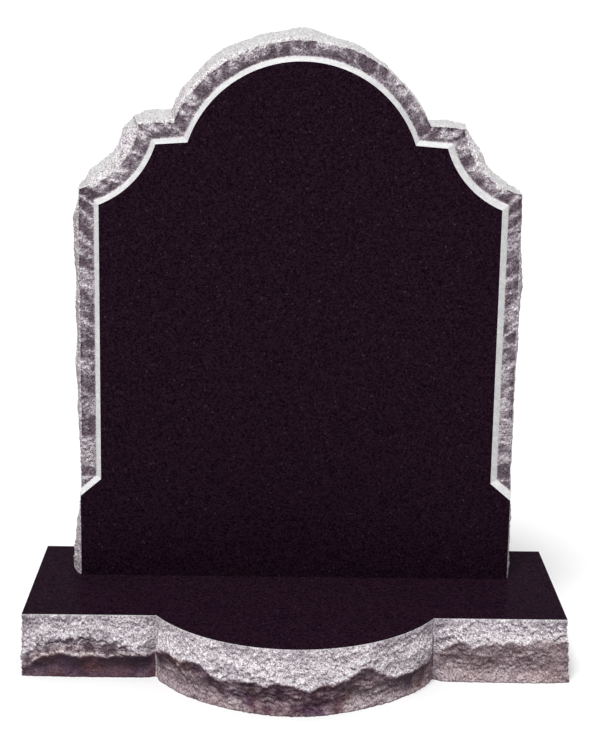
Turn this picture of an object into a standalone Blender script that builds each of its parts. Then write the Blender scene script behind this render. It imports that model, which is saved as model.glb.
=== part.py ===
# A polished granite headstone with rock-pitched edges, on its bowed base.
# Metres, +Z up. The polished face looks along -Y, and the left and right below are those
# of someone who faces it. The origin is on the ground, in the middle of the base's straight part.

import math

from collections import namedtuple

import bmesh
import bpy
from mathutils import Vector, noise

# Base: a straight block with a bow in front
BASE_WIDTH = 0.914
BASE_DEPTH = 0.305
BASE_HEIGHT = 0.110
BOW_HALF_WIDTH = 0.232
BOW_PROJECTION = 0.126

# Headstone: overall size, and its place on the base
STONE_WIDTH = 0.756
STONE_THICKNESS = 0.100
STONE_SETBACK = 0.171
JOINT_GAP = 0.0003

# Polished face, heights above the base and distances from the middle
FACE_HEIGHT = 0.911
STEP_LOW = 0.147
STEP_HIGH = 0.178
SIDE_TOP = 0.665
SHOULDER_OUTER = 0.246
SHOULDER_OUTER_HEIGHT = 0.769
SHOULDER_INNER = 0.192
SHOULDER_INNER_HEIGHT = 0.773
SCOOP_DEPTH = 0.016

# Border around the face: a sawn margin that slopes back, then a pitched band
BORDER_WIDTH = 0.036
MARGIN_LEFT = 0.0085
MARGIN_TOP = 0.008
MARGIN_RIGHT = 0.0115
MARGIN_SETBACK = 0.008
BAND_SETBACK = 0.009

# How far the pitched edge of the headstone stands out beyond its front arris,
# at even steps along each run, going up from the foot to the crown
EDGE_BULGE = {
    "right": {
        "foot": (0.013, 0.012, 0.010),
        "bevel": (0.010, 0.008),
        "side": (0.006, 0.006, 0.008, 0.010, 0.014, 0.006, 0.004),
        "scoop": (0.004, 0.014, 0.021, 0.008),
        "shoulder": (0.006, 0.010, 0.006),
        "arch": (0.006, 0.008, 0.008, 0.009, 0.013, 0.019),
    },
    "left": {
        "foot": (0.024, 0.016, 0.006),
        "bevel": (0.006, 0.006),
        "side": (0.006, 0.012, 0.015, 0.014, 0.012, 0.016, 0.006),
        "scoop": (0.006, 0.025, 0.027, 0.032, 0.014),
        "shoulder": (0.013, 0.021, 0.018),
        "arch": (0.015, 0.019, 0.021, 0.020, 0.018, 0.019),
    },
}
# A flake is missing on the right of the arch, from the shoulder up to this share of the run
FLAKE_END = 0.42
FLAKE_DEPTH = 0.004
FLAKE_STEP = 0.03
# The outline that the bulge heads for, this far beyond the front arris
LIMIT_OFFSET = 0.030

# Pitched sides of the base, at even steps along each run from left to right: how far they
# stand out at the ridge and at the ground, and how far down the ridge lies, as a share of
# the height
SIDE_BULGE = {
    "left end": (0.010, 0.012, 0.012),
    "front left": (0.016, 0.020, 0.021, 0.021, 0.018),
    "bow": (0.016, 0.018, 0.020, 0.021, 0.023, 0.024, 0.023, 0.021, 0.018, 0.016, 0.014),
    "front right": (0.012, 0.016, 0.015, 0.013),
    "right end": (0.011, 0.011, 0.010),
}
SIDE_FOOT = {
    "left end": (0.003, 0.003, 0.003),
    "front left": (0.003, 0.004, 0.004),
    "bow": (0.004, 0.008, 0.013, 0.006, 0.004),
    "front right": (0.008, 0.011, 0.011),
    "right end": (0.004, 0.004, 0.003),
}
SIDE_RIDGE = {
    "left end": (0.45, 0.40, 0.40),
    "front left": (0.80, 0.56, 0.61, 0.60, 0.58),
    "bow": (0.50, 0.41, 0.41, 0.54, 0.49, 0.52, 0.52, 0.32, 0.57, 0.60, 0.55),
    "front right": (0.52, 0.34, 0.35, 0.34, 0.32, 0.32),
    "right end": (0.40, 0.40, 0.45),
}
# The pitching rises to the ridge and falls away under it by these powers
RISE_POWER = 1.0
UNDERCUT_POWER = 1.8
# Near a corner the sides move out along its mitre and lose some of their relief, and where
# the bow meets the straight front the relief nearly dies away
CORNER_REACH = 0.025
CORNER_KEEP = 0.7
JUNCTION_REACH = 0.018
JUNCTION_KEEP = 0.1
# The stone below the ridge is scooped out in shells, which give the ridge its arches
SHELL_LENGTH = 0.075
SHELL_RISE = 0.04

# Pitched surface: bowls that meet in ridges, and slow waves in the lines of ridge and arris
BOWL_SIZE = 0.048
BOWL_FALL = 1.6
BASE_BOWL_DEPTH = 0.006
EDGE_BOWL_DEPTH = 0.004
BAND_BOWL_DEPTH = 0.004
EDGE_POWER = 0.6
RIDGE_WAVE = 0.05
RIDGE_WAVE_LENGTH = 0.022
ARRIS_WAVE = 0.0012
ARRIS_WAVE_LENGTH = 0.040

# Spacing of the points on the pitched surfaces
COLUMN_PITCH = 0.0105
EDGE_ROWS = 7
BAND_ROWS = 3
BASE_ROWS = 10

# Colours and finish of the two stones
STONE_COLOUR = (0.012, 0.008, 0.012, 1.0)
BASE_COLOUR = (0.018, 0.010, 0.015, 1.0)
POLISH_ROUGHNESS = 0.15

# Worked out from the sizes above
FACE_Y = -BASE_DEPTH / 2 + STONE_SETBACK
BACK_Y = FACE_Y + STONE_THICKNESS
FOOT_Z = BASE_HEIGHT + JOINT_GAP
FACE_HALF = STONE_WIDTH / 2 - BORDER_WIDTH

# A corner of the base in plan: the way it moves out, the share of relief it keeps, its reach
Corner = namedtuple("Corner", "direction keep reach")


def blend(a, b, share):
    return a + (b - a) * share


def smooth(share):
    """A soft step from 0 to 1."""
    share = min(max(share, 0.0), 1.0)
    return share * share * (3.0 - 2.0 * share)


def along(values, share):
    """Reads a value given at even steps along a run, softly blended in between."""
    place = share * (len(values) - 1)
    step = min(int(place), len(values) - 2)
    return blend(values[step], values[step + 1], smooth(place - step))


def bowls(point, size):
    """Shallow bowls that meet in sharp ridges: 1 at the bottom of a bowl, 0 on a ridge."""
    nearest = noise.voronoi(Vector(point) / size)[0][0]
    return max(0.0, 1.0 - BOWL_FALL * nearest * nearest)


def wave(point, length):
    """A slow wave between about -1 and 1."""
    return noise.noise(Vector(point) / length)


def circle_through(half_chord, rise):
    """The radius of an arc from half its chord and its rise."""
    return (half_chord ** 2 + rise ** 2) / (2.0 * rise)


def line_meets_circle(start, direction, centre, radius, last):
    """Where a line crosses a circle: the last crossing along the line, or the first."""
    unit = direction.normalized()
    reach = (centre - start).dot(unit)
    foot = start + unit * reach
    half = math.sqrt(max(radius ** 2 - (foot - centre).length_squared, 0.0))
    return foot + unit * (half if last else -half)


def line_run(start, end):
    return lambda share: start.lerp(end, share)


def arc_run(centre, start, end):
    """An arc about a centre, the short way from one point to another."""
    radius = (start - centre).length
    first = math.atan2(start.y - centre.y, start.x - centre.x)
    last = math.atan2(end.y - centre.y, end.x - centre.x)
    turn = (last - first + math.pi) % (2.0 * math.pi) - math.pi

    def place(share):
        angle = first + turn * share
        return centre + radius * Vector((math.cos(angle), math.sin(angle)))

    return place


def upper_runs(side_offset, top_offset, start_height):
    """Side, scoop, shoulder and half arch of the right half, moved outwards from the face's edge.
    Points are (distance from the middle, height above the base)."""
    outer = Vector((SHOULDER_OUTER, SHOULDER_OUTER_HEIGHT))
    inner = Vector((SHOULDER_INNER, SHOULDER_INNER_HEIGHT))
    low = Vector((FACE_HALF, SIDE_TOP))

    chord = outer - low
    scoop_radius = circle_through(chord.length / 2.0, SCOOP_DEPTH)
    outwards = Vector((chord.y, -chord.x)).normalized()
    scoop_centre = (low + outer) / 2.0 + outwards * (scoop_radius - SCOOP_DEPTH)

    arch_radius = circle_through(SHOULDER_INNER, FACE_HEIGHT - SHOULDER_INNER_HEIGHT)
    arch_centre = Vector((0.0, FACE_HEIGHT - arch_radius))

    shoulder = inner - outer
    shoulder_up = Vector((shoulder.y, -shoulder.x)).normalized()
    shoulder_start = outer + shoulder_up * top_offset

    side_x = FACE_HALF + side_offset
    up = Vector((0.0, 1.0))
    side_end = line_meets_circle(
        Vector((side_x, 0.0)), up, scoop_centre, scoop_radius - side_offset, False)
    scoop_end = line_meets_circle(
        shoulder_start, shoulder, scoop_centre, scoop_radius - side_offset, True)
    shoulder_end = line_meets_circle(
        shoulder_start, shoulder, arch_centre, arch_radius + top_offset, False)
    crown = arch_centre + up * (arch_radius + top_offset)
    return {
        "side": line_run(Vector((side_x, start_height)), side_end),
        "scoop": arc_run(scoop_centre, side_end, scoop_end),
        "shoulder": line_run(scoop_end, shoulder_end),
        "arch": arc_run(arch_centre, shoulder_end, crown),
    }


def lower_runs(bevel_start, bevel_end, foot_x):
    """The foot's upright edge and the bevel above it."""
    return {
        "foot": line_run(Vector((foot_x, 0.0)), Vector((foot_x, STEP_LOW))),
        "bevel": line_run(bevel_start, bevel_end),
    }


def margin_corners(margin):
    """Where the margin of the bevel meets the side of the stone and the upright margin."""
    low = Vector((STONE_WIDTH / 2.0, STEP_LOW))
    high = Vector((FACE_HALF, STEP_HIGH))
    slope = (high.y - low.y) / (high.x - low.x)
    lift = margin * math.hypot(1.0, slope)
    at_side = Vector((low.x, low.y + lift))
    at_margin = Vector((high.x + margin, high.y + lift + slope * margin))
    return at_side, at_margin


def stone_outlines(margin):
    """Four outlines of the right half: face, margin, front arris and the limit of the bulge."""
    half = STONE_WIDTH / 2.0
    at_side, at_margin = margin_corners(margin)
    level = at_margin.y
    face = lower_runs(Vector((half, STEP_LOW)), Vector((FACE_HALF, STEP_HIGH)), half)
    face.update(upper_runs(0.0, 0.0, STEP_HIGH))
    sawn = lower_runs(at_side, at_margin, half)
    sawn.update(upper_runs(margin, MARGIN_TOP, level))
    arris = lower_runs(at_side, Vector((half, level)), half)
    arris.update(upper_runs(BORDER_WIDTH, BORDER_WIDTH, level))
    limit_x = half + LIMIT_OFFSET
    limit = lower_runs(Vector((limit_x, at_side.y)), Vector((limit_x, level)), limit_x)
    limit.update(upper_runs(BORDER_WIDTH + LIMIT_OFFSET, BORDER_WIDTH + LIMIT_OFFSET, level))
    return face, sawn, arris, limit


def run_length(run):
    """The length of a run, measured along ten short chords."""
    points = [run(i / 10.0) for i in range(11)]
    return sum((b - a).length for a, b in zip(points, points[1:]))


def shares(length, include_start):
    count = max(1, round(length / COLUMN_PITCH))
    return [i / count for i in range(0 if include_start else 1, count + 1)]


def edge_bulge(side, name, share):
    """How far the pitched edge stands out at a place on the outline."""
    bulge = along(EDGE_BULGE[side][name], share)
    if side == "right" and name == "arch":
        bulge -= FLAKE_DEPTH * (1.0 - smooth((share - FLAKE_END) / FLAKE_STEP))
    return max(bulge, 0.0)


def stone_column(side, name, share, outlines):
    """Points from the face's edge over the border and across the thickness to the back."""
    face, sawn, arris, limit = (outline[name](share) for outline in outlines)
    sign = 1.0 if side == "right" else -1.0
    sawn_y = FACE_Y + MARGIN_SETBACK
    arris_y = FACE_Y + BAND_SETBACK
    if name == "foot":
        sawn_y = arris_y = FACE_Y
    if name == "bevel":
        arris_y = blend(sawn_y, arris_y, share)

    def place(point, y):
        return Vector((sign * point.x, y, FOOT_Z + point.y))

    column = [place(face, FACE_Y), place(sawn, sawn_y)]
    if name != "foot":
        arris = arris + (limit - arris) * wave(place(arris, 0.0), ARRIS_WAVE_LENGTH) * (
            ARRIS_WAVE / LIMIT_OFFSET)
    for row in range(1, BAND_ROWS):
        cross = row / BAND_ROWS
        point = sawn.lerp(arris, cross)
        y = blend(sawn_y, arris_y, cross)
        width = min((arris - sawn).length / BORDER_WIDTH, 1.0)
        sink = BAND_BOWL_DEPTH * width * bowls(place(point, y), BOWL_SIZE)
        column.append(place(point, y + sink))
    column.append(place(arris, arris_y))

    bulge = edge_bulge(side, name, share)
    for row in range(1, EDGE_ROWS):
        across = row / EDGE_ROWS
        y = blend(arris_y, BACK_Y, across)
        body = math.sin(math.pi * across) ** EDGE_POWER
        bowl = EDGE_BOWL_DEPTH * bowls(place(arris, y), BOWL_SIZE)
        out = body * max(bulge - bowl, 0.0)
        column.append(place(arris + (limit - arris) * (out / LIMIT_OFFSET), y))
    column.append(place(arris, BACK_Y))
    return column


def stone_columns():
    """All columns, from the right foot up over the arch and down to the left foot."""
    sides = {}
    for side, margin in (("right", MARGIN_RIGHT), ("left", MARGIN_LEFT)):
        outlines = stone_outlines(margin)
        columns = []
        for name in ("foot", "bevel", "side", "scoop", "shoulder", "arch"):
            length = run_length(outlines[2 if name != "bevel" else 0][name])
            for share in shares(length, name in ("foot", "bevel")):
                columns.append(stone_column(side, name, share, outlines))
        sides[side] = columns
    return sides["right"] + sides["left"][-2::-1]


def vertex_maker(bm):
    """Gives the vertex at a point, the same one each time that point comes up."""
    made = {}

    def vertex(point):
        key = tuple(round(value, 6) for value in point)
        if key not in made:
            made[key] = bm.verts.new(point)
        return made[key]

    return vertex


def add_face(bm, vertices):
    """Adds a face, leaving out repeated corners, or nothing if fewer than three are left."""
    ring = [v for i, v in enumerate(vertices) if v is not vertices[i - 1]]
    if len(ring) > 2 and len(set(ring)) == len(ring):
        bm.faces.new(ring)


def skin(bm, columns, vertex):
    """Joins neighbouring columns of points with faces."""
    for left, right in zip(columns, columns[1:]):
        for row in range(len(left) - 1):
            corners = (left[row], right[row], right[row + 1], left[row + 1])
            add_face(bm, [vertex(point) for point in corners])


def finish(bm, name, material, collection):
    """Turns the mesh into a named object in the collection."""
    bmesh.ops.recalc_face_normals(bm, faces=bm.faces)
    mesh = bpy.data.meshes.new(name)
    bm.to_mesh(mesh)
    bm.free()
    mesh.materials.append(material)
    piece = bpy.data.objects.new(name, mesh)
    collection.objects.link(piece)
    return piece


def build_headstone(collection):
    bm = bmesh.new()
    vertex = vertex_maker(bm)
    columns = stone_columns()
    skin(bm, columns, vertex)
    add_face(bm, [vertex(column[0]) for column in columns])
    add_face(bm, [vertex(column[-1]) for column in columns])
    foot = columns[0] + columns[-1][::-1]
    add_face(bm, [vertex(point) for point in foot])
    granite = stone_material("headstone granite", STONE_COLOUR)
    return finish(bm, "headstone", granite, collection)


def base_runs():
    """The pitched sides of the base in plan, from the back on the left round to the right."""
    half = BASE_WIDTH / 2.0
    front = -BASE_DEPTH / 2.0
    back = BASE_DEPTH / 2.0
    radius = circle_through(BOW_HALF_WIDTH, BOW_PROJECTION)
    centre = Vector((0.0, front - BOW_PROJECTION + radius))
    bow_left = Vector((-BOW_HALF_WIDTH, front))
    bow_right = Vector((BOW_HALF_WIDTH, front))
    tip = Vector((0.0, front - BOW_PROJECTION))
    left_half = arc_run(centre, bow_left, tip)
    right_half = arc_run(centre, tip, bow_right)

    def bow(share):
        if share < 0.5:
            return left_half(2.0 * share)
        return right_half(2.0 * share - 1.0)

    return {
        "left end": line_run(Vector((-half, back)), Vector((-half, front))),
        "front left": line_run(Vector((-half, front)), bow_left),
        "bow": bow,
        "front right": line_run(bow_right, Vector((half, front))),
        "right end": line_run(Vector((half, front)), Vector((half, back))),
    }


def outward(run, share):
    """The direction that points out of the base at a place on a run."""
    step = 0.001
    ahead = run(min(share + step, 1.0)) - run(max(share - step, 0.0))
    return Vector((ahead.y, -ahead.x)).normalized()


def mitre(before, after):
    """The direction that moves a corner out with both of the sides that meet there."""
    start = outward(before, 1.0)
    end = outward(after, 0.0)
    return (start + end) / (1.0 + start.dot(end))


def base_corners(runs):
    """The corners before, between and after the runs; the two at the back have no mitre."""
    names = list(runs)
    corners = [None]
    for before, after in zip(names, names[1:]):
        direction = mitre(runs[before], runs[after])
        if "bow" in (before, after):
            corners.append(Corner(direction, JUNCTION_KEEP, JUNCTION_REACH))
        else:
            corners.append(Corner(direction, CORNER_KEEP, CORNER_REACH))
    return corners + [None]


def pitch_profile(down, ridge, bulge, foot):
    """How far a pitched side stands out at a share of its height: 0 at the top arris, the
    bulge at the ridge and the foot at the ground."""
    if down < ridge:
        return bulge * (down / ridge) ** RISE_POWER
    return foot + (bulge - foot) * ((1.0 - down) / (1.0 - ridge)) ** UNDERCUT_POWER


def base_column(name, share, run, length, corners):
    """Points on a side of the base, from its top arris down to the ground."""
    plan = run(share)
    out = outward(run, share)
    fade = 1.0
    for corner, near in zip(corners, (share * length, (1.0 - share) * length)):
        if corner and near < corner.reach:
            turn = smooth(near / corner.reach)
            out = corner.direction.lerp(out, turn)
            fade *= blend(corner.keep, 1.0, turn)
    bulge = along(SIDE_BULGE[name], share)
    foot = along(SIDE_FOOT[name], share)
    shell = abs(math.sin(math.pi * share * length / SHELL_LENGTH))
    ridge = along(SIDE_RIDGE[name], share) + SHELL_RISE * (0.5 - shell)
    ridge += RIDGE_WAVE * wave((plan.x, plan.y, 0.0), RIDGE_WAVE_LENGTH)
    column = []
    for row in range(BASE_ROWS + 1):
        down = row / BASE_ROWS
        here = Vector((plan.x, plan.y, BASE_HEIGHT * (1.0 - down)))
        rim = math.sin(math.pi * down) if 0 < row < BASE_ROWS else 0.0
        carve = BASE_BOWL_DEPTH * rim * bowls(here, BOWL_SIZE)
        stand = fade * (pitch_profile(down, ridge, bulge, foot) - carve)
        column.append(here + Vector((out.x, out.y, 0.0)) * stand)
    return column


def base_columns():
    runs = base_runs()
    corners = base_corners(runs)
    columns = []
    for index, (name, run) in enumerate(runs.items()):
        length = run_length(run)
        for share in shares(length, index == 0):
            columns.append(base_column(name, share, run, length, corners[index:index + 2]))
    return columns


def build_base(collection):
    bm = bmesh.new()
    vertex = vertex_maker(bm)
    columns = base_columns()
    skin(bm, columns, vertex)
    add_face(bm, [vertex(column[0]) for column in columns])
    add_face(bm, [vertex(column[-1]) for column in columns])
    add_face(bm, [vertex(point) for point in columns[0] + columns[-1][::-1]])
    granite = stone_material("base granite", BASE_COLOUR)
    return finish(bm, "base", granite, collection)


def stone_material(name, colour):
    material = bpy.data.materials.new(name)
    material.use_nodes = True
    shader = material.node_tree.nodes["Principled BSDF"]
    shader.inputs["Base Color"].default_value = colour
    shader.inputs["Roughness"].default_value = POLISH_ROUGHNESS
    shader.inputs["Metallic"].default_value = 0.0
    return material


def clear_scene():
    for item in list(bpy.data.objects):
        bpy.data.objects.remove(item, do_unlink=True)


def main():
    clear_scene()
    collection = bpy.data.collections.new("Headstone")
    bpy.context.scene.collection.children.link(collection)
    build_base(collection)
    build_headstone(collection)


main()
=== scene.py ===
# The looks of the granite headstone: fine pitched surfaces and polished faces around the CAD frame.
# Metres, +Z up. The polished face looks along -Y; left and right are those of someone who faces it.

import math

from collections import namedtuple

import bmesh
import bpy
from mathutils import Matrix, Vector, noise


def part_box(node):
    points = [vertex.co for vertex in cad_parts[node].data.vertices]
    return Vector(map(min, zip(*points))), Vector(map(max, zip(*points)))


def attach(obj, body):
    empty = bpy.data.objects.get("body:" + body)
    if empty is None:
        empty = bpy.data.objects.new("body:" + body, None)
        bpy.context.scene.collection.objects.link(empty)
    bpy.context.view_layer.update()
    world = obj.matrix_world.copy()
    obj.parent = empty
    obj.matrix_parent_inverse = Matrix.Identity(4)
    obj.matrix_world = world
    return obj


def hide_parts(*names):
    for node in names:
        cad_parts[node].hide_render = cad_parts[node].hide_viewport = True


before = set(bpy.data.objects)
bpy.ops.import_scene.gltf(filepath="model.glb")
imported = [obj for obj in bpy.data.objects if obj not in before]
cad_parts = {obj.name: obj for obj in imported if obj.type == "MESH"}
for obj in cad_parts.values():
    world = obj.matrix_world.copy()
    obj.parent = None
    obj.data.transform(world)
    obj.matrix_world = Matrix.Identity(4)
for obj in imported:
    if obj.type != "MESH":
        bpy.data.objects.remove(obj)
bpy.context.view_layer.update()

# Base and headstone, the same sizes as the solids
BASE_WIDTH = 0.914
BASE_DEPTH = 0.305
BASE_HEIGHT = 0.110
BOW_HALF_WIDTH = 0.232
BOW_PROJECTION = 0.126
STONE_WIDTH = 0.756
STONE_THICKNESS = 0.100
STONE_SETBACK = 0.171
JOINT_GAP = 0.0003

# Polished face, heights above the base and distances from the middle
FACE_HEIGHT = 0.911
STEP_LOW = 0.147
STEP_HIGH = 0.178
SIDE_TOP = 0.665
SHOULDER_OUTER = 0.246
SHOULDER_OUTER_HEIGHT = 0.769
SHOULDER_INNER = 0.192
SHOULDER_INNER_HEIGHT = 0.773
SCOOP_DEPTH = 0.016

# Border around the face: a sawn margin that slopes back, then a pitched band
BORDER_WIDTH = 0.036
MARGIN_LEFT = 0.0085
MARGIN_TOP = 0.008
MARGIN_RIGHT = 0.0115
MARGIN_SETBACK = 0.008
BAND_SETBACK = 0.009

# How far the pitched edge of the headstone stands out beyond its front arris,
# at even steps along each run, going up from the foot to the crown
EDGE_BULGE = {
    "right": {
        "foot": (0.013, 0.012, 0.010),
        "bevel": (0.010, 0.008),
        "side": (0.006, 0.006, 0.008, 0.010, 0.014, 0.006, 0.004),
        "scoop": (0.004, 0.014, 0.021, 0.008),
        "shoulder": (0.006, 0.010, 0.006),
        "arch": (0.006, 0.008, 0.008, 0.009, 0.013, 0.019),
    },
    "left": {
        "foot": (0.024, 0.016, 0.006),
        "bevel": (0.006, 0.006),
        "side": (0.006, 0.012, 0.015, 0.014, 0.012, 0.016, 0.006),
        "scoop": (0.006, 0.025, 0.027, 0.032, 0.014),
        "shoulder": (0.013, 0.021, 0.018),
        "arch": (0.015, 0.019, 0.021, 0.020, 0.018, 0.019),
    },
}
# The flake missing on the right of the arch, from the arch's start: where it ends as a share
# of the arch's run, its depth, and the share of the run over which it steps up again
FLAKE_END = 0.42
FLAKE_DEPTH = 0.004
FLAKE_STEP = 0.03

# Pitched sides of the base, at even steps along each run from left to right: how far they
# stand out at the ridge and at the ground, how far down the ridge lies as a share of the
# height, and how stained the stone below the ridge is, a stain that is partly painted shade
SIDE_BULGE = {
    "left end": (0.010, 0.012, 0.012),
    "front left": (0.016, 0.020, 0.021, 0.021, 0.018),
    "bow": (0.016, 0.018, 0.020, 0.021, 0.023, 0.024, 0.023, 0.021, 0.018, 0.016, 0.014),
    "front right": (0.012, 0.016, 0.015, 0.013),
    "right end": (0.011, 0.011, 0.010),
}
SIDE_FOOT = {
    "left end": (0.003, 0.003, 0.003),
    "front left": (0.003, 0.004, 0.004),
    "bow": (0.004, 0.008, 0.013, 0.006, 0.004),
    "front right": (0.008, 0.011, 0.011),
    "right end": (0.004, 0.004, 0.003),
}
SIDE_RIDGE = {
    "left end": (0.45, 0.40, 0.40),
    "front left": (0.80, 0.56, 0.61, 0.60, 0.58),
    "bow": (0.50, 0.41, 0.41, 0.54, 0.49, 0.52, 0.52, 0.32, 0.57, 0.60, 0.55),
    "front right": (0.52, 0.34, 0.35, 0.34, 0.32, 0.32),
    "right end": (0.40, 0.40, 0.45),
}
SIDE_STAIN_AND_SHADE = {
    "left end": (0.6, 0.6, 0.9),
    "front left": (0.9, 1.0, 1.0, 1.0, 1.0),
    "bow": (0.90, 1.00, 1.00, 1.00, 1.00, 1.00, 1.00, 0.75, 0.75, 0.95, 0.70),
    "front right": (0.40, 0.38, 0.38, 0.40, 0.60),
    "right end": (0.4, 0.4, 0.4),
}
# How far below the ridge the stain and painted shade are at their darkest, as a share of the
# height, then the share of them that is left further down, and how soon they fade to that
STAIN_AND_SHADE_REACH = {
    "left end": (0.5, 0.5),
    "front left": (0.6, 0.6),
    "bow": (0.12, 0.16, 0.12, 0.20, 0.45, 0.50, 0.50, 0.22, 0.22, 0.30, 0.40),
    "front right": (0.60, 0.60),
    "right end": (0.5, 0.5),
}
STAIN_AND_SHADE_LEFT = 0.45
STAIN_AND_SHADE_FADE = 0.12
# The ridge's edge, where the stain and painted shade set in, as a share of the height
RIDGE_EDGE = 0.05
# Patches without stain, which is partly painted shade, where the stone is broken, and patches of
# painted shade between the ridges
PATCHINESS = 0.5
PATCH_LENGTH = 0.016
PATCH_CONTRAST = 1.5
STAIN_AND_SHADE_PATCH_MIDDLE = 0.6
SHADE_PATCH_MIDDLE = 0.7
# How broken the stone below the ridge is
SIDE_CRUMBLE = {
    "left end": (0.5, 0.5),
    "front left": (0.3, 0.1, 0.1, 0.2),
    "bow": (0.4, 0.6, 0.8, 0.7, 0.7, 0.7),
    "front right": (0.5, 0.5),
    "right end": (0.7, 0.7),
}
# A smaller ridge that breaks the stone above the main one, as a share of the height
SIDE_SHELF = {
    "left end": (0.30, 0.30),
    "front left": (0.72, 0.50, 0.42, 0.38, 0.36, 0.42, 0.48, 0.50, 0.52),
    "bow": (0.55, 0.45, 0.45, 0.60, 0.55, 0.55, 0.55, 0.40, 0.60, 0.60, 0.60),
    "front right": (0.60, 0.50, 0.50, 0.50),
    "right end": (0.35, 0.35),
}
# How far the stone steps back under the smaller ridge, then, as shares of the height, over
# how much it comes forward again, and the gap to the main ridge that gives it its full depth
SHELF_DEPTH = 0.0012
SHELF_REACH = 0.16
SHELF_ROOM = 0.2
# The part of that reach in which the step is made
SHELF_LIP = 0.15
# The small arches of the smaller ridge
SHELF_SHELL_LENGTH = 0.018
SHELF_SHELL_RISE = 0.05
# The crumbs between the two ridges: their painted shade, their stain, which is partly painted
# shade, and how much finer their ledges are
SHELF_SHADE = 1.2
CRUMB_STAIN_AND_SHADE = 0.45
CRUMB_FINENESS = 2.0
# A thin rib that crosses the undercut on the left of the bow: from and to, each as the share
# of the bow's length and of the height
RIB_START = (0.10, 0.40)
RIB_END = (0.155, 0.68)
RIB_WIDTH = 0.0022
RIB_HEIGHT = 0.003
# The dark crack where the bow meets the front on the right, painted as shade with no cut in the
# mesh: its top and bottom, as shares of the height from the top
CRACK_TOP = 0.30
CRACK_BOTTOM = 0.80
# Near a corner the relief turns to the corner's own direction, and where the bow meets the
# straight front it nearly dies away
CORNER_REACH = 0.025
CORNER_KEEP = 0.7
JUNCTION_REACH = 0.018
JUNCTION_KEEP = 0.1
# The small relief keeps this many times what the rest keeps there, up to all of it
SMALL_RELIEF_KEEP = 2.0
# The stone below the ridge is scooped out in shells, which give the ridge its arches
SHELL_LENGTH = 0.075
SHELL_RISE = 0.04
# The curves of the stone above the ridge and of the undercut below it
RISE_POWER = 1.0
UNDERCUT_POWER = 1.8

# Pitched surface: bowls that meet in ridges, at three sizes, and how fast they get shallower
BOWL_FALL = 1.6
BOWL_SIZE = 0.048
BASE_BOWL_DEPTH = 0.006
EDGE_BOWL_DEPTH = 0.004
BAND_BOWL_DEPTH = 0.004
CHIP_SIZE = 0.016
CHIP_DEPTH = 0.0021
CRUMB_SIZE = 0.0070
CRUMB_DEPTH = 0.0018
# Grit: a depth for each tiny cell of the stone
GRIT_DEPTH = 0.0009
GRITS_PER_METRE = 3000.0
# Broken planes: how steeply they tilt, and how far apart their directions are picked
FACET_TILT = 2.0
FACET_SPREAD = 7.3
# How much chips and crumbs count in what is called a crest
CHIP_CREST = 0.5
CRUMB_CREST = 0.4
# Streaks that run across the band, drawn out by the inverse of the squeeze
STREAK_LENGTH = 0.020
STREAK_DEPTH = 0.0045
STREAK_SQUEEZE = 0.3
# Small ledges that cross the stone above the ridge: they wander, and come in patches
LEDGE_RISE = 0.011
LEDGE_LENGTH = 0.030
LEDGE_DEPTH = 0.0026
LEDGE_DROP = 0.25
LEDGE_WANDER = 1.6
LEDGE_PATCH_CONTRAST = 1.8
LEDGE_PATCH_SHIFT = Vector((5.0, 3.0, 1.0))
# They set in this far above the ridge, and in broken stone they end near the ground
LEDGE_REACH = 0.25
LEDGE_END = 0.7
LEDGE_END_REACH = 0.3
# The small relief below the ridge, where the stone is whole and where it is broken
WHOLE_RELIEF = 0.4
BROKEN_RELIEF = 1.2
# The small relief is drawn out along a direction that climbs to the right, and warped a little
GRAIN_TILT = math.radians(24.0)
GRAIN_STRETCH = 1.5
WARP_LENGTH = 0.015
WARP_DISTANCE = 0.004
# Three places far apart, so that the three parts of a drift don't follow each other
DRIFT_SHIFTS = (Vector((9.3, 0.0, 0.0)), Vector((0.0, 17.1, 0.0)), Vector((0.0, 0.0, 31.7)))
# The mean depth of the small relief, which is given back next to an arris of the base over
# this share of the height, and how fast the relief sets in below the top arris
GRAIN_MEAN = 0.0024
MEAN_REACH = 0.2
ARRIS_ONSET = 12.0
# The teeth of the ridge, and its slower waves, which rise by shares of the height
TOOTH_RISE = 0.05
TOOTH_LENGTH = 0.008
RIDGE_WAVE = 0.05
RIDGE_WAVE_LENGTH = 0.022
# The band swells a little between its edges, and the mean depth of its relief is given back
BAND_PILLOW = 0.003
BAND_MEAN = 0.0036
# How fast its relief sets in at the sawn margin, and dies down to the arris's share outside
BAND_RIM_INNER = 5.0
BAND_RIM_OUTER = 4.0
# How hollow the band is where its painted shade sets in, and where it is darkest
HOLLOW_LOW = 0.42
HOLLOW_HIGH = 0.86
# The outer arris is chipped to a share of the small relief, wanders in and out, and is pale
# for a few rows; its chips reach over this share of the thickness
ARRIS_SHARE = 0.5
ARRIS_REACH = 0.15
ARRIS_PALE_ROWS = 3.0
ARRIS_WAVE = 0.0012
ARRIS_WAVE_LENGTH = 0.040
# The roundness of the bulge across the thickness
BULGE_POWER = 0.6

# Painted shade under overhangs: rows looked at above a place, and the overhang that begins it
OVERHANG_SHADE_ROWS = 14
OVERHANG_SHADE_START = 0.2
OVERHANG_SHADE_RANGE = 0.8
# How far a surface leans for it to count as looking down, where shade is painted on it, and as
# lying open to the sky, where it is painted an even grey as the light on the tops
LEAN_LEVEL = 0.46
LEAN_RANGE = 1.3
TOP_LIGHT_START = 0.3
TOP_LIGHT_RANGE = 0.5

# Spacing of the points on the pitched surfaces
COLUMN_PITCH = 0.0024
ROW_PITCH = 0.0024

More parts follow.
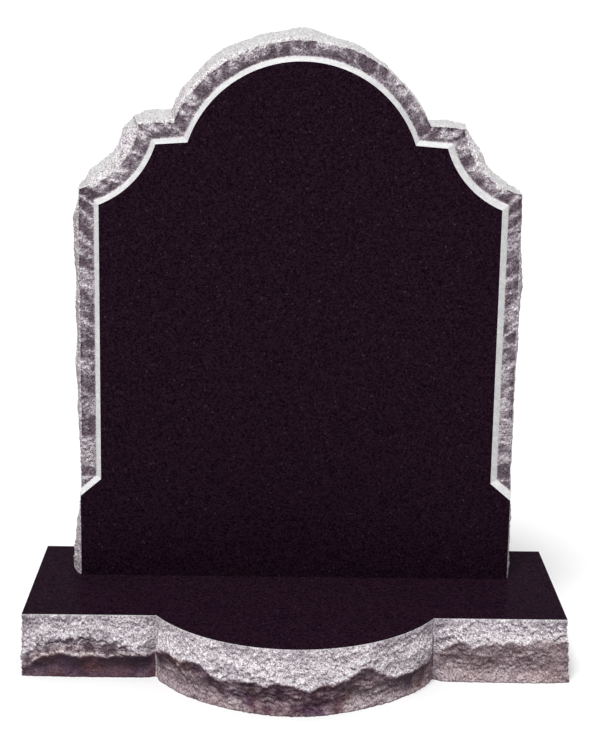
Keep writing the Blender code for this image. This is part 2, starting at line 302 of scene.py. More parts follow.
# Camera, fitted to points of the photograph
CAMERA_PLACE = (-0.0396, -2.6295, 1.2138)
CAMERA_YAW = -0.0152
CAMERA_PITCH = 0.2066
CAMERA_ROLL = 0.0171
CAMERA_FOCAL_PX = 1584.4
CAMERA_SHIFT_PX = -100.0
FRAME_LONG_SIDE_PX = 750.0
SENSOR_MM = 36.0

# Light: one soft sun, and a sky that is brighter above than below; then half the floor's width
SUN_ENERGY = 3.0
SUN_SIZE = math.radians(22.0)
SUN_DIRECTION = Vector((0.18, 0.45, -1.0))
SKY_LOW = 0.15
SKY_HIGH = 0.75
FLOOR_HALF = 200.0

# Colours of the stone, in linear light. Speckle, tint, painted shade, warmth and stain multiply
# what lies under them, and the others are mixed with it. The grey of the hollows and the shade tone
# are painted shade, the even grey of faces that look up is painted light, and the stain's colours
# are partly a real stain and partly painted shade under the ridges.
POLISHED_DARK = (0.004, 0.0012, 0.004)
POLISHED_LIGHT = (0.021, 0.009, 0.017)
POLISHED_FLECK = (0.04, 0.028, 0.04)
HOLLOW_SHADE_GREY = (0.42, 0.38, 0.42)
CREST_GREY = (0.65, 0.63, 0.64)
SPECKLE_DARK = (0.30, 0.26, 0.30)
SPECKLE_LIGHT = (1.86, 1.86, 1.84)
TINT_PURPLE = (1.0, 0.94, 0.99)
TINT_GREEN = (0.95, 1.0, 0.94)
TOP_LIGHT_GREY = (0.45, 0.46, 0.45)
STAINED_AND_SHADED_GREY = (0.34, 0.32, 0.34)
PAINTED_SHADE_TONE = (0.24, 0.19, 0.22)
STAIN_AND_SHADE_WARMTH = (1.0, 0.90, 0.86)
STAIN_AND_SHADE_PURPLE = (0.22, 0.14, 0.235)
STAIN_AND_SHADE_BROWN = (0.30, 0.165, 0.185)
# How much crystals and fine noise count in the speckle, and crystals in the sawn grey
CELL_WEIGHT = 0.9
FINE_WEIGHT = 1.8
SAWN_CELL_WEIGHT = 0.4
# How much the painted shade takes from a crest's tone
PAINTED_SHADE_WEIGHT = -0.5
# How far stone that looks up turns to its own even grey, as painted light, and stained stone,
# partly painted shade, to its
TOP_LIGHT_SHARE = 0.65
STAINED_AND_SHADED_SHARE = 0.35
# The saw's marks along X, per metre
MARKS_ALONG = 3.0

FACE_Y = -BASE_DEPTH / 2 + STONE_SETBACK
BACK_Y = FACE_Y + STONE_THICKNESS
FOOT_Z = BASE_HEIGHT + JOINT_GAP
FACE_HALF = STONE_WIDTH / 2 - BORDER_WIDTH
# How far outside the arris the outline lies that the bulge is measured towards
LIMIT_OFFSET = 0.030
EDGE_ROWS = round((STONE_THICKNESS - BAND_SETBACK) / ROW_PITCH)
BAND_ROWS = round((BORDER_WIDTH - MARGIN_TOP) / ROW_PITCH)
BASE_ROWS = round(BASE_HEIGHT / ROW_PITCH)

POLISHED, SAWN, PITCHED, PLAIN = range(4)

# A point of the surface, how near it is to a crest of the small relief, how stained it is (a
# stain that is partly painted shade), and how much painted shade it gets, in a hollow or under
# stone that juts out over it
Spot = namedtuple("Spot", "point crest stain shelter", defaults=(0.5, 0.0, 0.0))
# A corner of the base in plan: the way it moves out, the share of relief it keeps, its reach
Corner = namedtuple("Corner", "direction keep reach")


def blend(a, b, share):
    return a + (b - a) * share


def smooth(share):
    """A soft step from 0 to 1."""
    share = min(max(share, 0.0), 1.0)
    return share * share * (3.0 - 2.0 * share)


def along(values, share):
    """Reads a value given at even steps along a run, softly blended in between."""
    place = share * (len(values) - 1)
    step = min(int(place), len(values) - 2)
    return blend(values[step], values[step + 1], smooth(place - step))


def bowls(point, size):
    """Shallow bowls that meet in sharp ridges: 1 at the bottom of a bowl, 0 on a ridge."""
    nearest = noise.voronoi(point / size)[0][0]
    return max(0.0, 1.0 - BOWL_FALL * nearest * nearest)


def drift(point):
    """A direction that wanders slowly from place to place, the same on every run."""
    return Vector([noise.noise(point + shift) for shift in DRIFT_SHIFTS])


def facets(point, size):
    """Broken planes that each tilt their own way, about -1 to 1, with steps between them."""
    here = point / size
    centre = noise.voronoi(here)[1][0]
    return (here - centre).dot(drift(centre * FACET_SPREAD)) * FACET_TILT


def breaks(point, size):
    """Bowls and broken planes of one size, in equal parts."""
    return 0.5 * bowls(point, size) + 0.5 * facets(point, size)


def rib(share, length, down):
    """How near a place on the bow is to the rib: 1 on its line, 0 away from it."""
    here = Vector((share * length, down * BASE_HEIGHT))
    start = Vector((RIB_START[0] * length, RIB_START[1] * BASE_HEIGHT))
    end = Vector((RIB_END[0] * length, RIB_END[1] * BASE_HEIGHT))
    line = end - start
    along_line = min(max((here - start).dot(line) / line.length_squared, 0.0), 1.0)
    return max(0.0, 1.0 - (here - start - line * along_line).length / RIB_WIDTH)


def ledges(point):
    """Ledges that grow outwards on the way down and then drop back, in patches: 0 to 1."""
    here = point / LEDGE_LENGTH
    phase = LEDGE_WANDER * noise.noise(here) - point.z / LEDGE_RISE
    share = phase - math.floor(phase)
    patch = smooth(0.5 + LEDGE_PATCH_CONTRAST * noise.noise(here + LEDGE_PATCH_SHIFT))
    if share > 1.0 - LEDGE_DROP:
        return patch * (1.0 - share) / LEDGE_DROP
    return patch * share / (1.0 - LEDGE_DROP)


def grain(point):
    """The small broken relief of pitched granite: its height in metres, never above 0,
    and how near the place is to a crest, 0 to 1."""
    bent = point + drift(point / WARP_LENGTH) * WARP_DISTANCE
    along_grain = math.cos(GRAIN_TILT) * bent.x + math.sin(GRAIN_TILT) * bent.z
    across_grain = math.cos(GRAIN_TILT) * bent.z - math.sin(GRAIN_TILT) * bent.x
    bent = Vector((along_grain, bent.y, GRAIN_STRETCH * across_grain))
    chip = breaks(bent, CHIP_SIZE)
    crumb = breaks(bent, CRUMB_SIZE)
    grit = noise.cell(point * GRITS_PER_METRE)
    height = -CHIP_DEPTH * (chip + 0.5) - CRUMB_DEPTH * (crumb + 0.5) - GRIT_DEPTH * grit
    crest = 0.5 - CHIP_CREST * chip - CRUMB_CREST * crumb
    return min(height, 0.0), min(max(crest, 0.0), 1.0)


def wave(point, length):
    """A slow wave between about -1 and 1."""
    return noise.noise(Vector(point) / length)


def circle_through(half_chord, rise):
    """The radius of an arc from half its chord and its rise."""
    return (half_chord ** 2 + rise ** 2) / (2.0 * rise)


def line_meets_circle(start, direction, centre, radius, last):
    """Where a line crosses a circle: the last crossing along the line, or the first."""
    unit = direction.normalized()
    reach = (centre - start).dot(unit)
    foot = start + unit * reach
    half = math.sqrt(max(radius ** 2 - (foot - centre).length_squared, 0.0))
    return foot + unit * (half if last else -half)


def line_run(start, end):
    return lambda share: start.lerp(end, share)


def arc_run(centre, start, end):
    """An arc about a centre, the short way from one point to another."""
    radius = (start - centre).length
    first = math.atan2(start.y - centre.y, start.x - centre.x)
    last = math.atan2(end.y - centre.y, end.x - centre.x)
    turn = (last - first + math.pi) % (2.0 * math.pi) - math.pi

    def place(share):
        angle = first + turn * share
        return centre + radius * Vector((math.cos(angle), math.sin(angle)))

    return place


def upper_runs(side_offset, top_offset, start_height):
    """Side, scoop, shoulder and half arch of the right half, moved outwards from the face's edge.
    Points are (distance from the middle, height above the base)."""
    outer = Vector((SHOULDER_OUTER, SHOULDER_OUTER_HEIGHT))
    inner = Vector((SHOULDER_INNER, SHOULDER_INNER_HEIGHT))
    low = Vector((FACE_HALF, SIDE_TOP))

    chord = outer - low
    scoop_radius = circle_through(chord.length / 2.0, SCOOP_DEPTH)
    outwards = Vector((chord.y, -chord.x)).normalized()
    scoop_centre = (low + outer) / 2.0 + outwards * (scoop_radius - SCOOP_DEPTH)

    arch_radius = circle_through(SHOULDER_INNER, FACE_HEIGHT - SHOULDER_INNER_HEIGHT)
    arch_centre = Vector((0.0, FACE_HEIGHT - arch_radius))

    shoulder = inner - outer
    shoulder_up = Vector((shoulder.y, -shoulder.x)).normalized()
    shoulder_start = outer + shoulder_up * top_offset

    side_x = FACE_HALF + side_offset
    up = Vector((0.0, 1.0))
    side_end = line_meets_circle(
        Vector((side_x, 0.0)), up, scoop_centre, scoop_radius - side_offset, False)
    scoop_end = line_meets_circle(
        shoulder_start, shoulder, scoop_centre, scoop_radius - side_offset, True)
    shoulder_end = line_meets_circle(
        shoulder_start, shoulder, arch_centre, arch_radius + top_offset, False)
    crown = arch_centre + up * (arch_radius + top_offset)
    return {
        "side": line_run(Vector((side_x, start_height)), side_end),
        "scoop": arc_run(scoop_centre, side_end, scoop_end),
        "shoulder": line_run(scoop_end, shoulder_end),
        "arch": arc_run(arch_centre, shoulder_end, crown),
    }


def lower_runs(bevel_start, bevel_end, foot_x):
    """The foot's upright edge and the bevel above it."""
    return {
        "foot": line_run(Vector((foot_x, 0.0)), Vector((foot_x, STEP_LOW))),
        "bevel": line_run(bevel_start, bevel_end),
    }


def margin_corners(margin):
    """Where the margin of the bevel meets the side of the stone and the upright margin."""
    low = Vector((STONE_WIDTH / 2.0, STEP_LOW))
    high = Vector((FACE_HALF, STEP_HIGH))
    slope = (high.y - low.y) / (high.x - low.x)
    lift = margin * math.hypot(1.0, slope)
    at_side = Vector((low.x, low.y + lift))
    at_margin = Vector((high.x + margin, high.y + lift + slope * margin))
    return at_side, at_margin


def stone_outlines(margin):
    """Four outlines of the right half: face, margin, front arris and the limit of the bulge."""
    half = STONE_WIDTH / 2.0
    at_side, at_margin = margin_corners(margin)
    level = at_margin.y
    face = lower_runs(Vector((half, STEP_LOW)), Vector((FACE_HALF, STEP_HIGH)), half)
    face.update(upper_runs(0.0, 0.0, STEP_HIGH))
    sawn = lower_runs(at_side, at_margin, half)
    sawn.update(upper_runs(margin, MARGIN_TOP, level))
    arris = lower_runs(at_side, Vector((half, level)), half)
    arris.update(upper_runs(BORDER_WIDTH, BORDER_WIDTH, level))
    limit_x = half + LIMIT_OFFSET
    limit = lower_runs(Vector((limit_x, at_side.y)), Vector((limit_x, level)), limit_x)
    limit.update(upper_runs(BORDER_WIDTH + LIMIT_OFFSET, BORDER_WIDTH + LIMIT_OFFSET, level))
    return face, sawn, arris, limit


def run_length(run):
    """The length of a run, measured along ten short chords."""
    points = [run(i / 10.0) for i in range(11)]
    return sum((b - a).length for a, b in zip(points, points[1:]))


def shares(length, include_start):
    count = max(1, round(length / COLUMN_PITCH))
    return [i / count for i in range(0 if include_start else 1, count + 1)]


def edge_bulge(side, name, share):
    """How far the pitched edge stands out at a place on the outline."""
    bulge = along(EDGE_BULGE[side][name], share)
    if side == "right" and name == "arch":
        bulge -= FLAKE_DEPTH * (1.0 - smooth((share - FLAKE_END) / FLAKE_STEP))
    return max(bulge, 0.0)


def stone_column(side, name, share, travelled, outlines):
    """Points from the face's edge over the border and across the thickness to the back."""
    face, sawn, arris, limit = (outline[name](share) for outline in outlines)
    sign = 1.0 if side == "right" else -1.0
    sawn_y = FACE_Y + MARGIN_SETBACK
    arris_y = FACE_Y + BAND_SETBACK
    if name == "foot":
        sawn_y = arris_y = FACE_Y
    if name == "bevel":
        arris_y = blend(sawn_y, arris_y, share)

    def place(point, y):
        return Vector((sign * point.x, y, FOOT_Z + point.y))

    column = [Spot(place(face, FACE_Y)), Spot(place(sawn, sawn_y))]
    if name != "foot":
        arris = arris + (limit - arris) * wave(place(arris, 0.0), ARRIS_WAVE_LENGTH) * (
            ARRIS_WAVE / LIMIT_OFFSET)
    width = min((arris - sawn).length / BORDER_WIDTH, 1.0)
    for row in range(1, BAND_ROWS):
        cross = row / BAND_ROWS
        point = sawn.lerp(arris, cross)
        y = blend(sawn_y, arris_y, cross)
        here = place(point, y)
        rim = min(1.0, BAND_RIM_INNER * cross, BAND_RIM_OUTER * (1.0 - cross) + ARRIS_SHARE)
        streak = bowls(
            Vector((travelled, STREAK_SQUEEZE * cross * BORDER_WIDTH, sign)), STREAK_LENGTH)
        height, crest = grain(here)
        sink = BAND_BOWL_DEPTH * bowls(here, BOWL_SIZE) + STREAK_DEPTH * (streak - 0.5) - height
        sink -= BAND_PILLOW * math.sin(math.pi * cross) + BAND_MEAN
        y = max(y + width * rim * sink, FACE_Y)
        # Painted shade: the band is darkened in its hollows.
        hollow = blend(streak, 1.0 - crest, 0.5)
        shade = smooth((hollow - HOLLOW_LOW) / (HOLLOW_HIGH - HOLLOW_LOW))
        column.append(Spot(place(point, y), crest, 0.0, shade))
    height, crest = grain(place(arris, arris_y))
    chipped = 0.0 if name == "foot" else ARRIS_SHARE
    front = arris + (limit - arris) * (chipped * height / LIMIT_OFFSET)
    column.append(Spot(
        place(front, arris_y - chipped * (height + GRAIN_MEAN)), blend(crest, 1.0, 0.5)))

    bulge = edge_bulge(side, name, share)
    for row in range(1, EDGE_ROWS):
        across = row / EDGE_ROWS
        y = blend(arris_y, BACK_Y, across)
        here = place(arris, y)
        body = math.sin(math.pi * across) ** BULGE_POWER
        bowl = EDGE_BOWL_DEPTH * bowls(here, BOWL_SIZE)
        height, crest = grain(here)
        out = body * (bulge - bowl) + max(body, ARRIS_SHARE) * height
        y -= chipped * (height + GRAIN_MEAN) * (1.0 - smooth(across / ARRIS_REACH))
        crest = max(crest, 1.0 - row / ARRIS_PALE_ROWS)
        column.append(Spot(place(arris + (limit - arris) * (out / LIMIT_OFFSET), y), crest))
    column.append(Spot(place(arris, BACK_Y)))
    return column


def stone_columns():
    """All columns, from the right foot up over the arch and down to the left foot."""
    sides = {}
    for side, margin in (("right", MARGIN_RIGHT), ("left", MARGIN_LEFT)):
        outlines = stone_outlines(margin)
        columns = []
        travelled = 0.0
        for name in ("foot", "bevel", "side", "scoop", "shoulder", "arch"):
            length = run_length(outlines[2 if name != "bevel" else 0][name])
            for share in shares(length, name in ("foot", "bevel")):
                columns.append(
                    stone_column(side, name, share, travelled + share * length, outlines))
            travelled += length
        sides[side] = columns
    return sides["right"] + sides["left"][-2::-1]


def vertex_maker(bm):
    """Gives the vertex at a spot, the same one each time that spot comes up."""
    made = {}
    crest_layer = bm.verts.layers.float.new("crest")
    stain_and_shade_layer = bm.verts.layers.float.new("stain")
    painted_shade_layer = bm.verts.layers.float.new("shelter")

    def vertex(spot):
        key = tuple(round(value, 6) for value in spot.point)
        if key not in made:
            made[key] = bm.verts.new(spot.point)
            made[key][crest_layer] = spot.crest
            made[key][stain_and_shade_layer] = spot.stain
            made[key][painted_shade_layer] = spot.shelter
        return made[key]

    return vertex


def add_face(bm, vertices, finish):
    """Adds a face, leaving out repeated corners, or nothing if fewer than three are left."""
    ring = [v for i, v in enumerate(vertices) if v is not vertices[i - 1]]
    if len(ring) > 2 and len(set(ring)) == len(ring):
        bm.faces.new(ring).material_index = finish


def skin(bm, columns, vertex, finish_of_row):
    """Joins neighbouring columns of points with faces."""
    for left, right in zip(columns, columns[1:]):
        for row in range(len(left) - 1):
            corners = (left[row], right[row], right[row + 1], left[row + 1])
            add_face(bm, [vertex(point) for point in corners], finish_of_row(row))


def keep_inside(bm, node):
    """Holds the fine relief inside the box of the CAD node."""
    low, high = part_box(node)
    for vert in bm.verts:
        for axis in range(3):
            vert.co[axis] = min(max(vert.co[axis], low[axis]), high[axis])


def mark_lean(bm):
    """Adds to each point's painted shade how far the surface looks down there: 0 for up, 1 for
    down.
    The top light mark is the opposite: 1 where the surface lies open to the sky, and there the
    stone is painted an even grey, as painted light."""
    painted_shade_layer = bm.verts.layers.float["shelter"]
    top_light_layer = bm.verts.layers.float.new("top_light")
    bm.normal_update()
    for vert in bm.verts:
        looks_down = smooth(LEAN_LEVEL - vert.normal.z / LEAN_RANGE)
        vert[painted_shade_layer] = 1.0 - (1.0 - vert[painted_shade_layer]) * (1.0 - looks_down)
        vert[top_light_layer] = smooth((vert.normal.z - TOP_LIGHT_START) / TOP_LIGHT_RANGE)


def finish_piece(bm, name, node, materials):
    """Turns the mesh into a piece that stands for a CAD node."""
    bmesh.ops.recalc_face_normals(bm, faces=bm.faces)
    keep_inside(bm, node)
    mark_lean(bm)
    mesh = bpy.data.meshes.new(name)
    bm.to_mesh(mesh)
    bm.free()
    for material in materials:
        mesh.materials.append(material)
    piece = bpy.data.objects.new(name, mesh)
    bpy.context.scene.collection.objects.link(piece)
    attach(piece, "root")
    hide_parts(node)
    return piece


def build_headstone(materials):
    bm = bmesh.new()
    vertex = vertex_maker(bm)
    columns = stone_columns()
    skin(bm, columns, vertex, lambda row: SAWN if row == 0 else PITCHED)
    add_face(bm, [vertex(column[0]) for column in columns], POLISHED)
    add_face(bm, [vertex(column[-1]) for column in columns], PLAIN)
    add_face(bm, [vertex(point) for point in columns[0] + columns[-1][::-1]], PLAIN)
    piece = finish_piece(bm, "headstone_stone", "headstone", materials)


def base_runs():
    """The pitched sides of the base in plan, from the back on the left round to the right."""
    half = BASE_WIDTH / 2.0
    front = -BASE_DEPTH / 2.0
    back = BASE_DEPTH / 2.0
    radius = circle_through(BOW_HALF_WIDTH, BOW_PROJECTION)
    centre = Vector((0.0, front - BOW_PROJECTION + radius))
    bow_left = Vector((-BOW_HALF_WIDTH, front))
    bow_right = Vector((BOW_HALF_WIDTH, front))
    tip = Vector((0.0, front - BOW_PROJECTION))
    left_half = arc_run(centre, bow_left, tip)
    right_half = arc_run(centre, tip, bow_right)

    def bow(share):
        if share < 0.5:
            return left_half(2.0 * share)
        return right_half(2.0 * share - 1.0)

    return {
        "left end": line_run(Vector((-half, back)), Vector((-half, front))),
        "front left": line_run(Vector((-half, front)), bow_left),
        "bow": bow,
        "front right": line_run(bow_right, Vector((half, front))),
        "right end": line_run(Vector((half, front)), Vector((half, back))),
    }


def outward(run, share):
    """The direction that points out of the base at a place on a run."""
    step = 0.001
    ahead = run(min(share + step, 1.0)) - run(max(share - step, 0.0))
    return Vector((ahead.y, -ahead.x)).normalized()


def mitre(before, after):
    """The direction that moves a corner out with both of the sides that meet there."""
    start = outward(before, 1.0)
    end = outward(after, 0.0)
    return (start + end) / (1.0 + start.dot(end))


def base_corners(runs):
    """The corners before, between and after the runs; the two at the back have no mitre."""
    names = list(runs)
    corners = [None]
    for before, after in zip(names, names[1:]):
        direction = mitre(runs[before], runs[after])
        if "bow" in (before, after):
            corners.append(Corner(direction, JUNCTION_KEEP, JUNCTION_REACH))
        else:
            corners.append(Corner(direction, CORNER_KEEP, CORNER_REACH))
    return corners + [None]


def pitch_profile(down, ridge, bulge, foot):
    """How far a pitched side stands out at a share of its height: 0 at the top arris, the
    bulge at the ridge and the foot at the ground."""
    if down < ridge:
        return bulge * (down / ridge) ** RISE_POWER
    return foot + (bulge - foot) * ((1.0 - down) / (1.0 - ridge)) ** UNDERCUT_POWER


def overhang(column, row):
    """How far the stone above a place juts out over it, which paints shade under it: 0 in the open,
    1 well under a ledge.
    """
    stand, height = column[row]
    lean = 0.0
    for above, level in column[max(0, row - OVERHANG_SHADE_ROWS):row]:
        lean = max(lean, (above - stand) / (level - height))
    return smooth((lean - OVERHANG_SHADE_START) / OVERHANG_SHADE_RANGE)


def shelf_step(down, shelf):
    """How much the stone steps back under the smaller ridge: 1 just below it, then less."""
    below = (down - shelf) / SHELF_REACH
    return smooth(below / SHELF_LIP) * (1.0 - smooth(below))


def base_column(name, share, run, length, corners):
    """Points on a side of the base, from its top arris down to its bottom arris."""
    plan = run(share)
    out = outward(run, share)
    fade = 1.0
    for corner, near in zip(corners, (share * length, (1.0 - share) * length)):
        if corner and near < corner.reach:
            turn = smooth(near / corner.reach)
            out = corner.direction.lerp(out, turn)
            fade *= blend(corner.keep, 1.0, turn)
    bulge = along(SIDE_BULGE[name], share)
    foot = along(SIDE_FOOT[name], share)
    shell = abs(math.sin(math.pi * share * length / SHELL_LENGTH))
    ridge = along(SIDE_RIDGE[name], share) + SHELL_RISE * (0.5 - shell)
    ridge += RIDGE_WAVE * wave((plan.x, plan.y, 0.0), RIDGE_WAVE_LENGTH)
    tooth = TOOTH_RISE * wave((plan.x, plan.y, 1.0), TOOTH_LENGTH)
    small_shell = abs(math.sin(math.pi * share * length / SHELF_SHELL_LENGTH))
    shelf = along(SIDE_SHELF[name], share) + SHELF_SHELL_RISE * (0.5 - small_shell) - tooth
    room = smooth((ridge - shelf) / SHELF_ROOM)
    darkest = along(SIDE_STAIN_AND_SHADE[name], share)
    reach = along(STAIN_AND_SHADE_REACH[name], share)
    crumble = along(SIDE_CRUMBLE[name], share)

    profile = []
    marks = []
    for row in range(BASE_ROWS + 1):
        down = row / BASE_ROWS
        here = Vector((plan.x, plan.y, BASE_HEIGHT * (1.0 - down)))
        rim = math.sin(math.pi * down) if 0 < row < BASE_ROWS else 0.0
        between = shelf < down < ridge + tooth
        below = smooth((down - ridge - tooth) / RIDGE_EDGE)
        patches = PATCH_CONTRAST * wave(here, PATCH_LENGTH)
        patch = 1.0 - PATCHINESS * crumble * (1.0 - smooth(STAIN_AND_SHADE_PATCH_MIDDLE + patches))
        far = smooth((down - ridge - reach) / STAIN_AND_SHADE_FADE)
        # A stain below the ridge, partly real and partly painted shade of the undercut.
        stain = darkest * below * patch * blend(1.0, STAIN_AND_SHADE_LEFT, far)
        height, crest = grain(here)
        height *= blend(1.0, blend(WHOLE_RELIEF, BROKEN_RELIEF, crumble), below)
        ripple = (1.0 - below) * smooth((down - ridge + LEDGE_REACH) / LEDGE_REACH)
        low_ripple = below * crumble * (1.0 - smooth((down - LEDGE_END) / LEDGE_END_REACH))
        height -= LEDGE_DEPTH * max(ripple, low_ripple) * (1.0 - ledges(here))
        crumbs = room * (1.0 - ledges(here * CRUMB_FINENESS)) if between else 0.0
        height -= LEDGE_DEPTH * crumbs + SHELF_DEPTH * room * shelf_step(down, shelf)
        height += GRAIN_MEAN * (1.0 - smooth(min(down, 1.0 - down) / MEAN_REACH))
        bowl = BASE_BOWL_DEPTH * rim * bowls(here, BOWL_SIZE)
        stand = fade * (pitch_profile(down, ridge, bulge, foot) - bowl)
        stand += min(1.0, SMALL_RELIEF_KEEP * fade) * min(ARRIS_ONSET * down, 1.0) * height
        pale = 0.0
        if name == "bow":
            pale = rib(share, length, down)
            stand += RIB_HEIGHT * pale
        if name == "front left" and share == 1.0:
            pale = 1.0
        profile.append((stand, here.z))
        # Painted shade: the crumbs between the ridges are darkened in patches.
        shade = min(1.0, SHELF_SHADE * crumbs * smooth(SHADE_PATCH_MIDDLE + patches))
        if between:
            deep = smooth((down - shelf) / (ridge + tooth - shelf))
            stain = max(stain, CRUMB_STAIN_AND_SHADE * room * deep)
        # Painted shade: the crack, with no cut in the mesh.
        if name == "bow" and share == 1.0 and CRACK_TOP < down < CRACK_BOTTOM:
            shade = 1.0
        marks.append((max(crest, pale), stain * (1.0 - pale), shade, pale))
    # Painted shade: the crumbs' shade or the crack, or else the overhang above, whichever is more;
    # the pale rib and seam get none.
    return [
        Spot(Vector((plan.x + out.x * stand, plan.y + out.y * stand, level)), crest, stain,
             max(shade, overhang(profile, row)) * (1.0 - pale))
        for row, ((stand, level), (crest, stain, shade, pale)) in enumerate(zip(profile, marks))
    ]


def base_columns():
    runs = base_runs()
    corners = base_corners(runs)
    columns = []
    for index, (name, run) in enumerate(runs.items()):
        length = run_length(run)
        for share in shares(length, index == 0):
            columns.append(base_column(name, share, run, length, corners[index:index + 2]))
    return columns


def build_base(materials):
    bm = bmesh.new()
    vertex = vertex_maker(bm)
    columns = base_columns()
    skin(bm, columns, vertex, lambda row: PITCHED)
    add_face(bm, [vertex(column[0]) for column in columns], POLISHED)
    add_face(bm, [vertex(column[-1]) for column in columns], PLAIN)
    add_face(bm, [vertex(point) for point in columns[0] + columns[-1][::-1]], PLAIN)
    piece = finish_piece(bm, "base_stone", "base", materials)


def simple_material(name, colour, roughness, specular):
    material = bpy.data.materials.new(name)
    material.use_nodes = True
    shader = material.node_tree.nodes["Principled BSDF"]
    shader.inputs["Base Color"].default_value = (*colour, 1.0)
    shader.inputs["Roughness"].default_value = roughness
    shader.inputs["Specular IOR Level"].default_value = specular
    return material


def link(tree, source, target):
    tree.links.new(source, target)


def add_node(tree, kind, **settings):
    made = tree.nodes.new(kind)
    for name, value in settings.items():
        setattr(made, name, value)
    return made


def granite_cells(tree, place, scale):
    """Crystals: a random colour for each cell of the stone. The cells are 1 / scale m wide."""
    cells = add_node(tree, "ShaderNodeTexVoronoi")
    cells.inputs["Scale"].default_value = scale
    link(tree, place, cells.inputs["Vector"])
    split = add_node(tree, "ShaderNodeSeparateColor")
    link(tree, cells.outputs["Color"], split.inputs["Color"])
    return split


def fine_noise(tree, place, scale, roughness):
    noise_node = add_node(tree, "ShaderNodeTexNoise")
    noise_node.inputs["Scale"].default_value = scale
    noise_node.inputs["Detail"].default_value = 4.0
    noise_node.inputs["Roughness"].default_value = roughness
    link(tree, place, noise_node.inputs["Vector"])
    return noise_node.outputs["Fac"]


def mix_colours(tree, factor, first, second, blend_type="MIX"):
    """Mixes two colours; each is a colour or a socket that gives one."""
    mix = add_node(tree, "ShaderNodeMix", data_type="RGBA", blend_type=blend_type)
    link(tree, factor, mix.inputs["Factor"])
    for socket, value in (("A", first), ("B", second)):
        if isinstance(value, tuple):
            mix.inputs[socket].default_value = (*value, 1.0)
        else:
            link(tree, value, mix.inputs[socket])
    return mix.outputs["Result"]


def weighted_sum(tree, terms):
    """The sum of sockets, each times its own weight."""
    total = None
    for socket, weight in terms:
        step = add_node(tree, "ShaderNodeMath", operation="MULTIPLY_ADD")
        link(tree, socket, step.inputs[0])
        step.inputs[1].default_value = weight
        step.inputs[2].default_value = 0.0
        if total:
            link(tree, total, step.inputs[2])
        total = step.outputs[0]
    return total


def share_of(tree, value, share):
    """A socket times a fixed share."""
    return weighted_sum(tree, ((value, share),))


def multiply(tree, first, second):
    """The product of two colours, each a socket."""
    product = add_node(tree, "ShaderNodeVectorMath", operation="MULTIPLY")
    link(tree, first, product.inputs[0])
    link(tree, second, product.inputs[1])
    return product.outputs["Vector"]


def spread(tree, value, low, high):
    """A value between low and high as a share between 0 and 1."""
    ramp = add_node(tree, "ShaderNodeMapRange")
    ramp.inputs["From Min"].default_value = low
    ramp.inputs["From Max"].default_value = high
    link(tree, value, ramp.inputs["Value"])
    return ramp.outputs["Result"]


def add_bump(tree, height, strength, distance):
    bump = add_node(tree, "ShaderNodeBump")
    bump.inputs["Strength"].default_value = strength
    bump.inputs["Distance"].default_value = distance
    link(tree, height, bump.inputs["Height"])
    link(tree, bump.outputs["Normal"], tree.nodes["Principled BSDF"].inputs["Normal"])


def read_mark(tree, name):
    """A mark of the mesh's points, such as the stain."""
    return add_node(tree, "ShaderNodeAttribute", attribute_name=name).outputs["Fac"]


def pitched_material():
    """Broken granite: frosted crests, painted shade in hollows, under ledges and where it looks
    down, an even grey painted as light where it looks up, and a brown stain under the ridges
    that is partly painted shade.
    """
    material = simple_material("pitched granite", (0.5, 0.5, 0.5), roughness=0.85, specular=0.2)
    tree = material.node_tree
    place = add_node(tree, "ShaderNodeTexCoord").outputs["Object"]
    cells = granite_cells(tree, place, scale=520.0)
    fine = fine_noise(tree, place, scale=330.0, roughness=0.75)
    crest, shelter, stain, painted_top_light = (
        read_mark(tree, name) for name in ("crest", "shelter", "stain", "top_light"))

    # Crests are frosted pale, as bruised stone; hollows and places with painted shade get the
    # darker grey, which is painted shade.
    tone = weighted_sum(tree, ((crest, 1.0), (shelter, PAINTED_SHADE_WEIGHT)))
    stone = mix_colours(tree, spread(tree, tone, low=-0.3, high=0.7), HOLLOW_SHADE_GREY, CREST_GREY)
    sparkle = weighted_sum(tree, ((cells.outputs["Red"], CELL_WEIGHT), (fine, FINE_WEIGHT)))
    speckle = mix_colours(
        tree, spread(tree, sparkle, low=0.8, high=1.9), SPECKLE_DARK, SPECKLE_LIGHT)
    stone = multiply(tree, stone, speckle)
    tint = mix_colours(tree, cells.outputs["Green"], TINT_PURPLE, TINT_GREEN)
    stone = multiply(tree, stone, tint)
    # Painted light: where the stone looks up, its speckle turns to an even grey, for the strong
    # light on the tops.
    stone = mix_colours(tree, share_of(tree, painted_top_light, TOP_LIGHT_SHARE), stone, TOP_LIGHT_GREY)
    stone = mix_colours(tree, share_of(tree, stain, STAINED_AND_SHADED_SHARE), stone, STAINED_AND_SHADED_GREY)
    # Painted shade: the stone is darkened in hollows, under ledges, in the crack and where it looks
    # down.
    stone = mix_colours(tree, shelter, stone, PAINTED_SHADE_TONE, "MULTIPLY")
    # The stain warms, browns and darkens the stone: partly a real stain, partly painted shade under
    # the ridges.
    clouds = fine_noise(tree, place, scale=18.0, roughness=0.5)
    brown = mix_colours(
        tree, spread(tree, clouds, low=0.4, high=0.65), STAIN_AND_SHADE_PURPLE, STAIN_AND_SHADE_BROWN)
    warmth = spread(tree, stain, low=0.0, high=0.4)
    stone = mix_colours(tree, warmth, stone, STAIN_AND_SHADE_WARMTH, "MULTIPLY")
    stone = mix_colours(tree, stain, stone, brown, "MULTIPLY")
    link(tree, stone, tree.nodes["Principled BSDF"].inputs["Base Color"])
    add_bump(tree, fine, strength=0.9, distance=0.0012)
    return material


